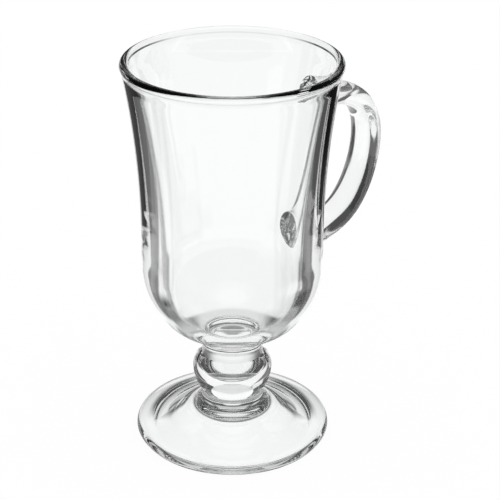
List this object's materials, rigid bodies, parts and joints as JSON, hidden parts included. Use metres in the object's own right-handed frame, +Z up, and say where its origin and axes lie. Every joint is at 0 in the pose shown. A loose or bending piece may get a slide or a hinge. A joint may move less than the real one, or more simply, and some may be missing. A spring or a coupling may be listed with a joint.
{
  "type": "footed glass mug",
  "caption": "Clear glass mug for hot drinks: flared bowl with a rolled lip on a ball-knop stem and a round spread foot, with a drawn C-shaped handle.",
  "frame": {"origin": "on the table, under the middle of the whole width from the bowl's lip to the outside of the handle", "axes": "+Z up along the mug's axis, which stands at x = -12.35 mm; +X from the axis towards the handle"},
  "size_m": [0.1006, 0.076, 0.1428],
  "materials": {
    "clear_glass": "fire-polished, clear, colourless"
  },
  "bodies": {
    "root": {"bowl": "clear_glass", "upper_collar": "clear_glass", "knop": "clear_glass", "lower_collar": "clear_glass", "foot": "clear_glass", "handle": "clear_glass"}
  },
  "joints": []
}
